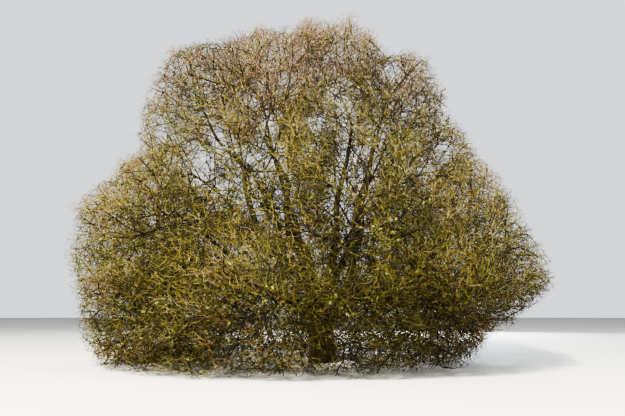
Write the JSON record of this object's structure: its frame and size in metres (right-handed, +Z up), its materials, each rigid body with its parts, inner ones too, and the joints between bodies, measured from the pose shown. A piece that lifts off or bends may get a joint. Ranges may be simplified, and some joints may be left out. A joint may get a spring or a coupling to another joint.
{
  "type": "oak tree",
  "caption": "Old spreading oak in early spring: short flared trunk, crooked boughs and a broad, almost bare crown whose twigs sweep to the ground.",
  "frame": {"origin": "middle of the trunk's flat cut at ground level", "axes": "+Z up the trunk, +X to the right and +Y away as the picture was taken"},
  "size_m": [15.4587, 15.0279, 12.3998],
  "materials": {
    "bark": "rough bark",
    "twigs": "fine matt twigs with a few olive leaves"
  },
  "bodies": {
    "root": {"trunk": "bark", "bough_top_1": "bark", "bough_top_2": "bark", "bough_upper_1": "bark", "bough_upper_2": "bark", "bough_upper_3": "bark", "bough_upper_4": "bark", "bough_upper_5": "bark", "bough_middle_1": "bark", "bough_middle_2": "bark", "bough_middle_3": "bark", "bough_middle_4": "bark", "bough_middle_5": "bark", "bough_middle_6": "bark", "bough_lower_1": "bark", "bough_lower_2": "bark", "bough_lower_3": "bark", "bough_lower_4": "bark", "bough_lower_5": "bark", "bough_lower_6": "bark", "bough_lower_7": "bark", "bough_skirt_1": "bark", "bough_skirt_2": "bark", "bough_skirt_3": "bark", "bough_skirt_4": "bark", "bough_skirt_5": "bark", "bough_skirt_6": "bark", "bough_skirt_7": "bark", "bough_inner_1": "bark", "bough_inner_2": "bark", "twigs_top_1": "twigs", "twigs_top_2": "twigs", "twigs_upper_1": "twigs", "twigs_upper_2": "twigs", "twigs_upper_3": "twigs", "twigs_upper_4": "twigs", "twigs_upper_5": "twigs", "twigs_middle_1": "twigs", "twigs_middle_2": "twigs", "twigs_middle_3": "twigs", "twigs_middle_4": "twigs", "twigs_middle_5": "twigs", "twigs_middle_6": "twigs", "twigs_lower_1": "twigs", "twigs_lower_2": "twigs", "twigs_lower_3": "twigs", "twigs_lower_4": "twigs", "twigs_lower_5": "twigs", "twigs_lower_6": "twigs", "twigs_lower_7": "twigs", "twigs_skirt_1": "twigs", "twigs_skirt_2": "twigs", "twigs_skirt_3": "twigs", "twigs_skirt_4": "twigs", "twigs_skirt_5": "twigs", "twigs_skirt_6": "twigs", "twigs_skirt_7": "twigs", "twigs_inner_1": "twigs", "twigs_inner_2": "twigs"}
  },
  "joints": []
}
